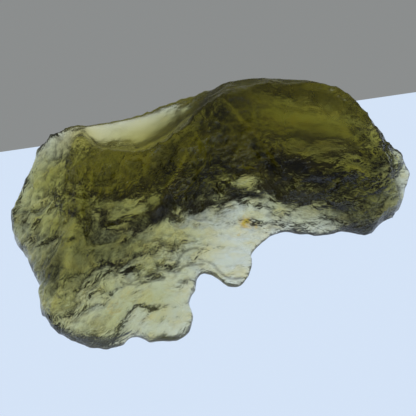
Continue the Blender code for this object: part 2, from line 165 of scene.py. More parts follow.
# Outline seen from above, clockwise from the left tip: x, y, and the heights of its lower and its upper edge.
OUTLINE = (
    (-18.1, -0.1, 0.4, 2.2),
    (-17.4, 2.1, 0.8, 2.6),
    (-16.6, 4.6, 1.6, 3.4),
    (-16.3, 6.5, 2.6, 4.2),
    (-15.4, 7.2, 4.0, 5.0),
    (-14.0, 7.6, 5.0, 6.0),
    (-12.4, 7.6, 5.7, 6.5),
    (-11.6, 8.0, 5.6, 6.3),
    (-9.1, 8.7, 5.5, 6.3),
    (-7.4, 9.2, 5.5, 6.3),
    (-5.5, 9.8, 5.6, 6.5),
    (-3.6, 10.6, 5.8, 7.0),
    (-1.9, 11.1, 5.8, 7.2),
    (-0.6, 11.6, 5.6, 7.2),
    (1.0, 12.1, 4.8, 6.8),
    (3.4, 12.8, 3.8, 5.8),
    (5.8, 13.2, 3.2, 5.2),
    (8.4, 13.3, 2.8, 5.0),
    (10.8, 13.0, 2.8, 5.0),
    (13.0, 12.2, 2.8, 4.8),
    (14.8, 10.9, 2.8, 4.4),
    (16.4, 9.4, 2.8, 4.2),
    (17.8, 7.7, 2.8, 3.8),
    (18.7, 6.2, 2.4, 3.2),
    (19.0, 4.6, 1.9, 2.6),
    (18.5, 3.0, 1.2, 2.0),
    (18.1, 1.9, 0.6, 1.6),
    (17.4, 1.2, 0.4, 2.2),
    (16.4, 0.6, 0.3, 2.0),
    (15.0, -0.5, -0.2, 1.7),
    (12.7, -0.3, -0.1, 1.3),
    (11.1, -1.0, 0.2, 0.9),
    (8.5, -0.7, 0.2, 1.0),
    (6.6, -0.9, 0.3, 1.0),
    (5.2, -2.0, 0.3, 1.0),
    (4.1, -3.4, 0.3, 1.0),
    (3.9, -5.0, 0.3, 1.0),
    (3.4, -6.5, 0.3, 0.9),
    (2.8, -7.2, 0.3, 0.9),
    (1.5, -7.1, 0.3, 1.0),
    (0.3, -5.9, 0.3, 1.2),
    (-0.9, -5.8, 0.3, 1.2),
    (-1.0, -7.1, 0.3, 1.2),
    (-1.6, -9.4, 0.3, 1.2),
    (-1.4, -11.0, 0.3, 1.2),
    (-2.0, -12.8, 0.3, 1.2),
    (-4.0, -13.5, 0.3, 1.3),
    (-6.3, -12.8, 0.0, 1.6),
    (-8.3, -13.8, -0.1, 1.6),
    (-10.3, -13.4, -0.1, 1.6),
    (-12.7, -12.3, 0.3, 1.6),
    (-14.3, -9.8, 0.1, 1.7),
    (-14.5, -7.9, 0.1, 1.7),
    (-15.2, -6.4, 0.1, 1.7),
    (-16.4, -3.8, 0.2, 1.9),
    (-17.7, -1.6, 0.3, 2.1),
)

# Ridges of the upper side, each a line that two scoops share: x, y, z.
TOP_RIDGES = {
    "crest": (
        (-12.3, 5.6, 6.8),
        (-10.0, 3.6, 7.0),
        (-7.2, 2.7, 7.2),
        (-4.8, 3.0, 7.8),
        (-2.0, 4.9, 8.6),
        (-0.4, 6.9, 9.8),
        (2.8, 7.9, 10.0),
        (5.0, 9.4, 10.0),
        (7.2, 9.4, 9.8),
        (11.0, 10.7, 9.3),
    ),
    "back rim": (
        (-0.6, 11.6, 7.3),
        (0.7, 11.3, 8.0),
        (2.1, 11.2, 8.6),
        (3.8, 11.0, 9.3),
        (7.3, 11.0, 9.2),
        (11.0, 10.9, 9.2),
        (13.3, 10.7, 8.0),
        (14.8, 9.9, 7.0),
        (15.4, 8.8, 6.2),
        (15.9, 6.7, 5.8),
        (16.5, 4.5, 5.2),
        (17.0, 2.7, 4.3),
        (17.4, 1.7, 3.0),
    ),
    "fin": (
        (-12.3, 5.6, 6.8),
        (-11.7, 2.3, 6.4),
        (-11.5, -1.0, 5.8),
        (-11.3, -3.3, 5.4),
        (-11.8, -4.7, 4.8),
        (-12.0, -6.3, 4.2),
        (-12.1, -7.9, 3.7),
        (-12.5, -9.8, 3.0),
        (-12.9, -10.9, 2.4),
    ),
    "ledge": (
        (-11.5, -1.0, 5.8),
        (-9.4, -2.9, 4.2),
        (-7.8, -2.7, 4.3),
        (-6.9, -2.3, 4.5),
        (-5.8, -2.1, 4.5),
        (-4.7, -1.9, 4.8),
        (-4.3, -1.2, 5.2),
        (-3.7, -0.3, 5.6),
        (-2.4, 2.0, 6.8),
        (-1.0, 4.6, 8.2),
    ),
    "step": (
        (1.4, 7.4, 9.3),
        (2.9, 6.5, 8.2),
        (4.3, 5.3, 7.8),
        (5.5, 4.1, 6.8),
        (6.6, 3.6, 6.6),
        (7.9, 3.5, 6.6),
        (8.8, 3.3, 6.5),
        (9.7, 2.7, 6.2),
        (12.0, 3.0, 6.0),
        (14.7, 2.0, 5.0),
        (17.0, 2.7, 4.3),
    ),
    "fin foot": (
        (-10.1, -4.4, 3.2),
        (-10.4, -6.2, 2.8),
        (-10.7, -8.0, 2.4),
        (-11.4, -9.6, 2.1),
    ),
    "flake foot": (
        (16.0, 9.0, 4.9),
        (16.5, 6.9, 4.5),
        (17.1, 4.7, 3.8),
        (17.5, 3.1, 3.0),
    ),
    "ledge back": (
        (-9.4, -0.8, 4.6),
        (-8.0, -0.5, 4.4),
        (-6.6, -0.2, 4.5),
        (-5.3, 0.5, 4.9),
        (-4.5, 1.6, 5.6),
    ),
    "ledge foot": (
        (-9.3, -3.2, 3.5),
        (-7.8, -3.0, 3.5),
        (-6.9, -2.6, 3.7),
        (-5.7, -2.4, 3.8),
        (-4.4, -2.2, 4.0),
        (-3.9, -1.4, 4.3),
        (-3.3, -0.5, 4.8),
    ),
    "step foot": (
        (4.2, 4.6, 6.7),
        (5.5, 3.5, 5.7),
        (6.6, 3.0, 5.5),
        (7.9, 2.9, 5.5),
        (8.8, 2.7, 5.4),
        (9.7, 2.1, 5.1),
        (12.0, 2.3, 4.8),
    ),
    "bench back": (
        (1.5, 3.3, 4.1),
        (2.8, 3.1, 4.0),
        (3.9, 3.0, 4.0),
        (5.0, 2.7, 4.1),
    ),
    "bench": (
        (1.3, 2.4, 3.9),
        (2.6, 2.2, 3.8),
        (3.8, 2.1, 3.8),
        (5.0, 2.1, 3.9),
    ),
    "bench foot": (
        (1.6, 2.0, 3.0),
        (2.7, 1.8, 2.9),
        (3.9, 1.7, 2.9),
        (5.1, 1.7, 3.0),
    ),
    "slope foot": (
        (-3.3, -2.2, 2.6),
        (-0.7, 0.4, 2.1),
        (0.6, 1.2, 2.1),
        (2.9, 1.2, 2.1),
        (4.9, 0.6, 1.9),
        (7.5, 1.0, 1.9),
        (10.2, 1.2, 2.0),
        (12.0, 0.6, 1.9),
    ),
    "front rim": (
        (-12.9, -10.9, 2.4),
        (-11.5, -12.2, 2.0),
        (-9.0, -13.0, 1.9),
        (-7.4, -12.6, 1.8),
        (-6.2, -12.0, 1.6),
        (-4.6, -12.7, 1.4),
    ),
}

# Soft depths of the upper side: x, y, z and the radius over which the surface is drawn to it.
TOP_DEPTHS = {
    "dish": (-6.0, 6.2, 4.8, 2.2),
    "dish right": (-2.0, 8.4, 5.8, 1.8),
    "dish left": (-9.6, 6.2, 5.1, 1.4),
    "middle hollow": (-7.2, 0.8, 4.6, 1.2),
    "front bowl": (-9.0, -6.4, 2.9, 1.3),
    "front bowl floor": (-7.2, -9.8, 2.8, 2.2),
    "front bowl right": (-5.0, -6.2, 3.0, 1.6),
    "lobe": (-3.8, -9.8, 2.3, 1.6),
    "shelf": (1.4, -3.0, 1.5, 2.0),
    "shelf left": (-1.8, -4.6, 1.8, 1.2),
    "shelf right": (4.4, -1.4, 1.5, 1.0),
    "right hollow": (9.5, 6.2, 6.2, 2.4),
    "left face": (-14.8, -1.0, 3.2, 1.6),
    "left face upper": (-14.6, 4.0, 4.6, 1.4),
    "flake": (17.7, 5.6, 3.7, 0.8),
}
TOP_SAG = 0.10  # curvature of the film, per millimetre

# Each patch below fades out from its middle: middle x, y, z, radius, and its strength there.
# Smooth faces, with little sculpture.
SMOOTH_PATCHES = {
    "dish": (-5.0, 7.5, 5.2, 4.0, 0.9),
    "dish right": (0.0, 9.5, 6.6, 3.0, 0.8),
    "right hollow": (9.0, 7.0, 7.0, 4.2, 0.9),
    "right hollow far": (13.0, 6.5, 6.0, 2.6, 0.7),
    "top edge": (3.6, 11.0, 9.3, 2.6, 0.9),
    "top edge right": (8.4, 11.0, 9.2, 2.8, 0.8),
    "top edge corner": (13.4, 10.6, 8.0, 2.2, 0.7),
    "crest": (-8.6, 3.2, 7.1, 1.6, 0.6),
    "fin": (-11.9, -4.0, 5.0, 1.8, 0.8),
    "fin foot": (-12.2, -7.6, 3.9, 1.8, 0.8),
    "ledge": (-6.6, -2.2, 4.3, 1.9, 0.7),
    "ledge left": (-9.2, -2.8, 4.2, 1.5, 0.7),
    "ledge right": (-4.3, -1.4, 5.0, 1.6, 0.6),
    "shelf": (1.4, -3.4, 0.9, 3.2, 0.35),
    "lobe": (-3.6, -10.2, 1.2, 2.6, 0.35),
    "floor of front bowl": (-8.0, -9.8, 1.8, 2.6, 0.3),
    "back of dish": (-5.0, 9.6, 3.0, 4.5, 0.85),
    "under right hollow": (9.5, 7.5, 1.5, 4.0, 0.8),
}

# Faces darkened with painted shade.
PAINTED_SHADE_PATCHES = {
    "slope": (7.5, 2.6, 4.5, 2.4, 0.92),
    "slope right": (11.8, 1.8, 3.8, 3.0, 0.95),
    "under crest": (1.0, 6.3, 8.0, 3.0, 0.92),
    "crest foot": (-3.2, 2.4, 6.4, 2.6, 0.75),
    "middle hollow": (-8.0, 1.8, 6.0, 2.4, 0.45),
    "slope left": (-0.9, 1.4, 4.0, 2.6, 0.93),
    "slope middle": (1.2, 3.6, 5.0, 2.2, 0.93),
    "right front": (14.8, 0.8, 2.0, 2.8, 0.75),
    "right end": (16.2, 3.4, 4.2, 2.2, 0.75),
    "beside fin": (-9.4, -4.0, 3.3, 2.8, 0.92),
    "under ledge": (-6.4, -3.8, 3.2, 1.8, 0.55),
    "front of right hollow": (10.4, 4.8, 6.0, 2.0, 0.35),
    "left front": (-15.2, -5.4, 1.6, 2.6, 0.4),
    "left edge": (-17.4, -0.6, 1.4, 1.8, 0.5),
    "left face top": (-14.0, 5.4, 4.6, 2.4, 0.25),
    "left of fin": (-13.0, -7.6, 3.0, 2.1, 0.93),
}

# Faces with painted shade in their bowls and none on the ridges between.
BOWL_SHADE_PATCHES = {
    "front edge right": (9.2, 0.1, 1.6, 2.8, 0.35),
    "right front": (13.6, 0.2, 1.6, 2.0, 0.3),
    "shelf left": (-2.6, -4.6, 1.8, 1.8, 0.3),
    "shelf back": (1.0, 0.6, 2.0, 1.6, 0.4),
    "front rim": (-8.6, -13.0, 1.6, 2.4, 0.3),
}

# Faces with little painted shade and few painted wrinkles, and faces that water has polished.
LESS_SHADED_PATCHES = {
    "shelf": (1.6, -3.6, 1.2, 3.8, 0.6),
    "lobe": (-3.6, -10.4, 1.8, 3.2, 0.75),
    "flake": (18.3, 5.4, 3.2, 1.6, 0.9),
    "bench": (4.0, 2.5, 3.9, 2.0, 0.95),
    "front edge right": (9.2, -0.2, 1.2, 2.4, 0.5),
    "ledge": (-7.0, -1.4, 4.4, 1.6, 0.5),
    "dish left": (-11.2, 7.2, 6.0, 1.6, 0.9),
    "dish rim": (-8.0, 8.8, 6.0, 2.4, 0.9),
}
POLISHED_PATCHES = {
    "shelf": (1.6, -3.6, 1.2, 3.4, 0.3),
    "lobe": (-3.6, -10.4, 1.8, 3.0, 0.3),
    "dish left": (-11.2, 7.2, 6.0, 1.6, 0.8),
    "dish rim": (-8.0, 8.8, 6.0, 2.4, 0.8),
    "left rim": (-10.4, 7.4, 6.0, 2.2, 0.8),
}

# Faces that the thin yellow film covers.
FILMED_PATCHES = {
    "dish": (-6.0, 7.0, 5.4, 4.0, 0.8),
    "dish left": (-11.6, 6.6, 5.8, 3.0, 0.9),
}

# Ridge lines of the upper side kept free of painted shade, as painted highlights, and how wide, and the
# painted shadows along the feet under them.
LIT_LIPS = {"ledge": 0.22, "step": 0.22, "bench": 0.22, "fin": 0.45}
UNDERCUT_SHADOWS = ("ledge foot", "step foot", "bench foot")
UNDERCUT_WIDTH = 0.3

# Iron stains in the skin.
IRON_STAINS = {
    "shelf": (3.5, -0.4, 1.5, 0.65, 1.0),
    "shelf beside": (4.4, -0.8, 1.4, 0.3, 0.8),
    "shelf below": (2.9, -1.7, 1.4, 0.25, 0.7),
    "floor of front bowl": (-8.0, -11.3, 2.4, 0.8, 0.45),
    "floor of front bowl right": (-7.0, -9.7, 2.6, 0.6, 0.4),
    "beside bubble": (-5.4, -5.4, 3.0, 0.6, 0.35),
    "left face": (-15.0, 2.6, 3.6, 0.5, 0.35),
}

# Fine creases of the upper side: points x, y in the plan. Then their depth, width and painted shade.
CREASES = {
    "across the shelf": ((-6.6, -8.2), (-5.2, -7.7), (-4.2, -7.0), (-2.8, -6.6), (-1.6, -5.6), (-0.4, -5.3)),
    "shelf fold": ((-0.8, -4.9), (0.4, -5.2), (1.0, -6.0), (1.9, -6.7), (2.9, -6.6)),
    "crescent": ((-2.7, -6.2), (-2.6, -5.3), (-2.2, -4.5), (-1.5, -4.0), (-0.9, -3.8)),
    "bowl": ((-7.4, -8.4), (-6.2, -8.5), (-5.0, -8.2), (-3.8, -7.6)),
}
CREASE_DEPTH, CREASE_WIDTH, CREASE_SHADE = 0.12, 0.12, 0.6

# Bubbles that the etching has opened: middle x, y, z and radius.
OPEN_BUBBLES = ((-6.4, -3.8, 3.2, 0.3), (-7.6, -1.4, 4.4, 0.22), (2.4, -2.2, 1.5, 0.2))
BUBBLE_DEPTH = 0.16
BUBBLE_RIM, BUBBLE_RIM_WIDTH, BUBBLE_END = 1.1, 0.3, 2.0  # in radii
BUBBLE_RIM_HEIGHT = 0.5  # as a share of the depth

# The underside: what falls below zero is cut flat there, and scoops rise from those flats.
UNDER_RIDGES = {
    "keel": (
        (-14.2, 3.6, 1.2),
        (-12.0, 4.4, 0.6),
        (-9.4, 5.9, 0.1),
        (-6.5, 7.0, -0.2),
        (-3.0, 8.5, -0.3),
        (0.0, 10.0, -0.4),
        (3.0, 11.4, -0.4),
        (6.0, 12.0, -0.3),
        (9.5, 11.9, 0.1),
        (12.5, 11.4, 0.4),
        (15.0, 9.4, 0.9),
        (16.6, 7.2, 1.4),
    ),
}
UNDER_DEPTHS = {
    "under bowl": (-8.0, -7.6, 0.5, 1.5),
    "under bowl back": (-7.6, -3.4, 0.2, 1.4),
    "under ledge": (-6.5, 2.4, 1.2, 1.8),
    "under slope": (2.2, 5.4, 1.8, 1.7),
    "under rim": (-8.0, -11.4, 0.1, 1.2),
    "under right": (10.5, 4.8, 0.5, 2.2),
    "under shelf": (1.4, -3.6, 0.3, 1.8),
    "under flake": (17.2, 6.0, 2.9, 1.1),
    "under left": (-13.5, -2.0, 0.6, 1.6),
    "under right front": (15.2, 2.6, 0.2, 1.4),
}
UNDER_SAG = -0.03


def unit(value):
    """The value held between 0 and 1."""
    return min(1.0, max(0.0, value))


def curve_points(line, spacing):
    """Evenly close points along a smooth curve through the line's points, as an array."""
    knots = np.array(line, float)
    padded = np.concatenate([[2 * knots[0] - knots[1]], knots, [2 * knots[-1] - knots[-2]]])
    found = []
    for a, b, c, d in zip(padded, padded[1:], padded[2:], padded[3:]):
        count = max(2, math.ceil(float(np.linalg.norm((c - b)[:2])) / spacing))
        t = (np.arange(count) / count)[:, None]
        bend = (2 * a - 5 * b + 4 * c - d) * t**2 + (3 * b - a - 3 * c + d) * t**3
        found.append(b + ((c - a) * t + bend) / 2)
    return np.concatenate([*found, knots[-1:]])


def film(lines, depths, sag):
    """Heights on the finest grid of a film held by the lines, drawn to the depths and sagging in between."""
    heights = None
    for step, rounds in zip(GRID_STEPS, RELAXATIONS):
        xs = np.arange(LEFT, RIGHT + step / 2, step)
        ys = np.arange(FRONT, BACK + step / 2, step)
        total = np.zeros((len(xs), len(ys)))
        hits = np.zeros_like(total)
        for line in lines:
            dense = curve_points(line, step / POINTS_PER_STEP)
            column = np.rint((dense[:, 0] - LEFT) / step).astype(int)
            row = np.rint((dense[:, 1] - FRONT) / step).astype(int)
            np.add.at(total, (column, row), dense[:, 2])
            np.add.at(hits, (column, row), 1)
        held = hits > 0
        wanted = total[held] / hits[held]
        pull = np.zeros_like(total)
        aim = np.zeros_like(total)
        for x, y, z, radius in depths.values():
            away = (xs[:, None] - x) ** 2 + (ys[None, :] - y) ** 2
            near = np.exp(-away / radius**2) * DEPTH_PULL * step**2
            pull += near
            aim += near * z
        if heights is None:
            heights = np.full_like(total, wanted.mean())
        else:
            heights = on_grid(heights, xs, ys, 2 * step)
        heights[held] = wanted
        for _ in range(rounds):
            around = np.pad(heights, 1, mode="edge")
            beside = around[:-2, 1:-1] + around[2:, 1:-1] + around[1:-1, :-2] + around[1:-1, 2:]
            heights = (beside + aim - sag * step**2) / (4 + pull)
            heights[held] = wanted
    return heights


def sampled(heights, x, y, step):
    """Heights read off a grid between its points."""
    across = np.clip((np.asarray(x) - LEFT) / step, 0, heights.shape[0] - INSIDE_GRID)
    along = np.clip((np.asarray(y) - FRONT) / step, 0, heights.shape[1] - INSIDE_GRID)
    i, j = across.astype(int), along.astype(int)
    u, v = across - i, along - j
    near = heights[i, j] * (1 - v) + heights[i, j + 1] * v
    far = heights[i + 1, j] * (1 - v) + heights[i + 1, j + 1] * v
    return near * (1 - u) + far * u


def on_grid(heights, xs, ys, step):
    x, y = np.meshgrid(xs, ys, indexing="ij")
    return sampled(heights, x, y, step)


def closed_line(points):
    return (*points, points[0])


def films():
    """The upper and the lower surface as grids of heights."""
    lower_line = closed_line([(x, y, low) for x, y, low, high in OUTLINE])
    upper_line = closed_line([(x, y, high) for x, y, low, high in OUTLINE])
    top = film([upper_line, *TOP_RIDGES.values()], TOP_DEPTHS, TOP_SAG)
    under = film([lower_line, *UNDER_RIDGES.values()], UNDER_DEPTHS, UNDER_SAG)
    return top, under


def slab():
    """The outline as a filled curve, extruded."""
    curve = bpy.data.curves.new("outline", "CURVE")
    curve.dimensions = "2D"
    curve.fill_mode = "BOTH"
    curve.resolution_u = OUTLINE_STEPS
    curve.extrude = SLAB / 2 * MM
    spline = curve.splines.new("BEZIER")
    spline.bezier_points.add(len(OUTLINE) - 1)
    spline.use_cyclic_u = True
    for point, (x, y, *_) in zip(spline.bezier_points, OUTLINE):
        point.co = (x * MM, y * MM, 0)
        point.handle_left_type = point.handle_right_type = "AUTO"
    guide = bpy.data.objects.new("outline", curve)
    bpy.context.scene.collection.objects.link(guide)
    bpy.context.view_layer.update()
    mesh = bpy.data.meshes.new_from_object(guide.evaluated_get(bpy.context.evaluated_depsgraph_get()))
    bpy.data.objects.remove(guide)
    shape = bmesh.new()
    shape.from_mesh(mesh)
    bmesh.ops.remove_doubles(shape, verts=shape.verts, dist=WELD * MM)
    bmesh.ops.recalc_face_normals(shape, faces=shape.faces)
    shape.to_mesh(mesh)
    shape.free()
    return mesh


def lift(stone, top, under):
    """Gives the slab the two films for its skins."""
    step = GRID_STEPS[-1]
    for vertex in stone.data.vertices:
        x, y, z = vertex.co / MM
        low = float(sampled(under, x, y, step))
        high = max(float(sampled(top, x, y, step)), low + THINNEST)
        share = unit(z / SLAB + 0.5)
        vertex.co.z = (low + (high - low) * share) * MM


def worked_out(stone, name):
    """Replaces the stone's mesh with what its modifiers make of it."""
    bpy.context.view_layer.update()
    graph = bpy.context.evaluated_depsgraph_get()
    mesh = bpy.data.meshes.new_from_object(stone.evaluated_get(graph))
    mesh.name = name
    stone.modifiers.clear()
    stone.data = mesh


def remeshed(stone, name, grain):
    remesh = stone.modifiers.new(name, "REMESH")
    remesh.mode = "VOXEL"
    remesh.voxel_size = grain * MM
    worked_out(stone, name)


def flow(x):
    """The way that furrows run at this x: steep on the left face, nearly level at the right."""
    share = unit((x - FLOW_START) / FLOW_SPAN)
    turn = math.radians(FLOW_LEFT + (FLOW_RIGHT - FLOW_LEFT) * share)
    return Vector((math.cos(turn), FLOW_BACK * math.sin(turn), FLOW_UP * math.sin(turn))).normalized()


def along_flow(p, stretch):
    """The point with the stone squeezed along the flow, so that what is round there is drawn out here."""
    along = flow(p.x)
    return p - along * p.dot(along) * (1 - 1 / stretch)


def scallops(p, size, stretch):
    """Bowls that meet in sharp ridges, drawn out along the flow: about -1 in a bowl and +1 on a ridge."""
    wandering = p + noise.noise_vector(p / (SCALLOP_TURNS * size)) * SCALLOP_SHIFT * size
    nearest = noise.voronoi(along_flow(wandering, stretch) / size)[0][0]
    return SCALLOP_HEIGHT * nearest**2 + SCALLOP_FLOOR


def left_by(patches, p):
    """What is left of 1 at this point when each patch has taken its share."""
    left = 1.0
    for x, y, z, radius, share in patches.values():
        reach = (p - Vector((x, y, z))).length_squared / radius**2
        left *= 1 - share * math.exp(-reach)
    return left


def wall_thickness(tree, p, normal):
    """How far the stone reaches inwards from this point of its surface."""
    start = p - normal * CLEAR_OF_SURFACE * MM
    hit = tree.ray_cast(start, -normal)[3]
    return hit / MM if hit else 0.0


def facing_up(normal):
    """1 on the upper side, less on the underside."""
    return FINE_BELOW + (1 - FINE_BELOW) * unit(normal.z - UPPER_START)


def relief(p, normal, most):
    """Height of the sculpture here, in millimetres, with no size of bowl deeper than the most given."""
    height = 0.0
    for size, deep, stretch in SCALLOPS:
        share = facing_up(normal) * left_by(POLISHED_PATCHES, p) if size < FINE_SIZE else 1.0
        height += share * min(deep, most) * scallops(p, size, stretch)
    turned_away = unit(HIDDEN_RISE * max(-normal.z, normal.y) - HIDDEN_LESS)
    size, deep, stretch = HIDDEN_SCALLOPS
    height += turned_away * min(deep, most) * scallops(p, size, stretch)
    return height * left_by(SMOOTH_PATCHES, p)


def plan_tree(lines, spacing):
    """The lines' points in the plan, for telling how near to them a place is."""
    points = [point for line in lines for point in curve_points(line, spacing)]
    tree = KDTree(len(points))
    for k, (x, y, *_) in enumerate(points):
        tree.insert((x, y, 0), k)
    tree.balance()
    return tree


def on_line(lines, width, p, normal):
    """1 on the lines, seen from above, and 0 away from all of them and on the underside."""
    away = lines.find((p.x, p.y, 0))[2]
    return math.exp(-((away / width) ** 2)) * unit(LINE_RISE * normal.z + LINE_START)


def bubble(p):
    """The hollow of an open bubble and its raised rim, in millimetres."""
    height = 0.0
    for x, y, z, radius in OPEN_BUBBLES:
        reach = (p - Vector((x, y, z))).length / radius
        if reach < BUBBLE_END:
            rim = BUBBLE_RIM_HEIGHT * math.exp(-(((reach - BUBBLE_RIM) / BUBBLE_RIM_WIDTH) ** 2))
            height += BUBBLE_DEPTH * (rim - max(0.0, 1 - reach**2))
    return height


def sculpt(stone):
    """Moves every point in or out along its normal by the relief, less where the stone is thin."""
    mesh = stone.data
    tree = BVHTree.FromPolygons([v.co for v in mesh.vertices], [p.vertices for p in mesh.polygons])
    outline = plan_tree([closed_line(OUTLINE)], OUTLINE_POINT)
    creases = plan_tree(CREASES.values(), CREASE_WIDTH / POINTS_PER_WIDTH)
    moved = []
    for vertex in mesh.vertices:
        normal = vertex.normal.copy()
        p = vertex.co / MM
        most = THIN_SHARE * wall_thickness(tree, vertex.co, normal)
        from_edge = outline.find((p.x, p.y, 0))[2]
        share = EDGE_SHARE + (1 - EDGE_SHARE) * min(1.0, from_edge / EDGE_BAND)
        crease = on_line(creases, CREASE_WIDTH, p, normal)
        height = share * relief(p, normal, most) + bubble(p) - CREASE_DEPTH * crease
        moved.append(vertex.co + normal * height * MM)
    for vertex, place in zip(mesh.vertices, moved):
        vertex.co = place


def fitted(stone):
    """Moves the mesh to where its box has the solid's middle in the plan, and makes it flat at zero."""
    low, high = (np.array(corner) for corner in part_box("moldavite"))
    at = np.array([tuple(v.co) for v in stone.data.vertices])
    shift = (low + high) / 2 - (at.min(axis=0) + at.max(axis=0)) / 2
    for vertex in stone.data.vertices:
        vertex.co.x += shift[0]
        vertex.co.y += shift[1]
        vertex.co.z = max(vertex.co.z, 0.0)
    return shift


def read(mesh, name, width):
    """One of the mesh's values, such as the place of each point, as an array of so many columns."""
    values = np.empty(len(mesh.vertices) * width)
    mesh.vertices.foreach_get(name, values)
    return values.reshape(-1, width)


def heights_over_smoothed(mesh):
    """How far each point stands over the surface as it would be if smoothed, in millimetres."""
    count = len(mesh.vertices)
    ends = np.empty(len(mesh.edges) * 2, int)
    mesh.edges.foreach_get("vertices", ends)
    a, b = ends.reshape(-1, 2).T
    neighbours = np.bincount(a, minlength=count) + np.bincount(b, minlength=count)
    at = read(mesh, "co", 3) / MM
    smoothed = at
    for _ in range(HOLLOW_ROUNDS):
        sums = [np.bincount(a, c[b], count) + np.bincount(b, c[a], count) for c in smoothed.T]
        smoothed = np.stack(sums, axis=1) / neighbours[:, None]
    return ((at - smoothed) * read(mesh, "normal", 3)).sum(axis=1)


def wandered(p):
    """The point led astray by soft turns, so that patterns laid on it aren't straight."""
    turns = [noise.noise_vector(p / size) * strength for size, strength in PIT_WANDER]
    return p + sum(turns, Vector())


def off_lines(mesh, at, lines, width):
    """At every point, 0 on the lines and 1 away from them."""
    tree = plan_tree(lines, width / POINTS_PER_WIDTH)
    return np.array([1 - on_line(tree, width, p, vertex.normal) for p, vertex in zip(at, mesh.vertices)])


def left_everywhere(patches, at):
    return np.array([left_by(patches, p) for p in at])


def painted_shade(mesh, at, rough):
    """How much painted shade each point holds: on the shaded faces, in hollows, in the bowls of some faces
    and in creases, and the painted shadows under ledges.
    """
    height = heights_over_smoothed(mesh)
    in_hollow = 1 - np.clip((height - HOLLOW_DARK) / (HOLLOW_CLEAR - HOLLOW_DARK), 0, 1)
    on_ridge = RIDGE_SHARE * np.clip(height / RIDGE_LIT, 0, 1)
    # Painted shade on the shaded faces, lifted off their ridges as a painted highlight.
    unshaded = 1 - (1 - left_everywhere(PAINTED_SHADE_PATCHES, at)) * (1 - on_ridge)
    # Painted shade in the hollows.
    unshaded *= 1 - HOLLOW_SHADE * rough * in_hollow
    held = (1 - unshaded) * left_everywhere(LESS_SHADED_PATCHES, at)
    # Painted shade in the bowls of the listed faces.
    size, _, stretch = SCALLOPS[BOWL_SHADE_SCALLOP]
    bowls = np.array([scallops(p, size, stretch) for p in at])
    in_bowl = np.clip((BOWL_SHADE_EDGE - bowls) / BOWL_SHADE_EDGE, 0, 1)
    bowl_shade = (1 - left_everywhere(BOWL_SHADE_PATCHES, at)) * (read(mesh, "normal", 3)[:, 2] > 0)
    held = np.maximum(held, in_bowl * bowl_shade)
    # Painted shadow along the feet under the ledge, the step and the bench.
    unshaded = (1 - held) * off_lines(mesh, at, [TOP_RIDGES[name] for name in UNDERCUT_SHADOWS], UNDERCUT_WIDTH)
    held = 1 - unshaded
    # Painted highlights along the lips, kept free of painted shade.
    for name, width in LIT_LIPS.items():
        held = held * off_lines(mesh, at, [TOP_RIDGES[name]], width)
    # Painted shade in the creases.
    in_creases = CREASE_SHADE * (1 - off_lines(mesh, at, CREASES.values(), CREASE_WIDTH))
    return 1 - (1 - held) * (1 - in_creases)


def skin(stone):
    """Keeps, at every point, what the patterns of the glass need."""
    mesh = stone.data
    at = [vertex.co / MM for vertex in mesh.vertices]
    drawn = np.array([tuple(along_flow(wandered(p), PIT_STRETCH)) for p in at])
    facing = np.array([facing_up(vertex.normal) for vertex in mesh.vertices])
    sculptured = facing * left_everywhere(SMOOTH_PATCHES, at)
    rough = sculptured * left_everywhere(POLISHED_PATCHES, at)
    mesh.attributes.new("drawn out", "FLOAT_VECTOR", "POINT").data.foreach_set("vector", drawn.ravel())
    shares = {
        "rough": rough,
        "wrinkle_shaded": sculptured * left_everywhere(LESS_SHADED_PATCHES, at),
        "painted_shade": painted_shade(mesh, at, rough),
        "film": 1 - left_everywhere(FILMED_PATCHES, at),
        "iron": 1 - left_everywhere(IRON_STAINS, at),
    }
    for name, values in shares.items():
        mesh.attributes.new(name, "FLOAT", "POINT").data.foreach_set("value", values)


def kept(tree, name, output):
    node = tree.nodes.new("ShaderNodeAttribute")
    node.attribute_name = name
    return node.outputs[output]


def ranged(tree, value, start, end, low, high):
    """The value taken from one range to another, and held within it."""
    node = tree.nodes.new("ShaderNodeMapRange")
    for name, number in zip(("From Min", "From Max", "To Min", "To Max"), (start, end, low, high)):
        node.inputs[name].default_value = number
    tree.links.new(value, node.inputs["Value"])
    return node.outputs["Result"]


def less(tree, value):
    """1 less the value."""
    return ranged(tree, value, 0, 1, 1, 0)


def cells(tree, places, size, feature):
    """Distances in a pattern of cells of this size, in millimetres, from their middles or their edges."""
    pattern = tree.nodes.new("ShaderNodeTexVoronoi")
    pattern.feature = feature
    pattern.inputs["Scale"].default_value = 1 / size
    tree.links.new(places, pattern.inputs["Vector"])
    return pattern.outputs["Distance"]


def pits(tree, places, rough, size, deep, before):
    """A bump of small bowls that meet in sharp ridges, over the bump before it."""
    bump = tree.nodes.new("ShaderNodeBump")
    bump.inputs["Distance"].default_value = deep * MM
    tree.links.new(cells(tree, places, size, "F1"), bump.inputs["Height"])
    tree.links.new(rough, bump.inputs["Strength"])
    if before:
        tree.links.new(before, bump.inputs["Normal"])
    return bump.outputs["Normal"]


def mixed(tree, share, below, above):
    """One colour over another, each a socket or a plain colour."""
    mix = tree.nodes.new("ShaderNodeMix")
    mix.data_type = "RGBA"
    tree.links.new(share, mix.inputs["Factor"])
    for name, colour in (("A", below), ("B", above)):
        if isinstance(colour, tuple):
            mix.inputs[name].default_value = (*colour, 1.0)
        else:
            tree.links.new(colour, mix.inputs[name])
    return mix.outputs["Result"]


def mottle(tree, places, size):
    """Soft patches of about this size in millimetres, from 0 to 1."""
    cloud = tree.nodes.new("ShaderNodeTexNoise")
    cloud.inputs["Scale"].default_value = 1 / size
    cloud.inputs["Detail"].default_value = PATCH_DETAIL
    tree.links.new(places, cloud.inputs["Vector"])
    return cloud.outputs["Fac"]


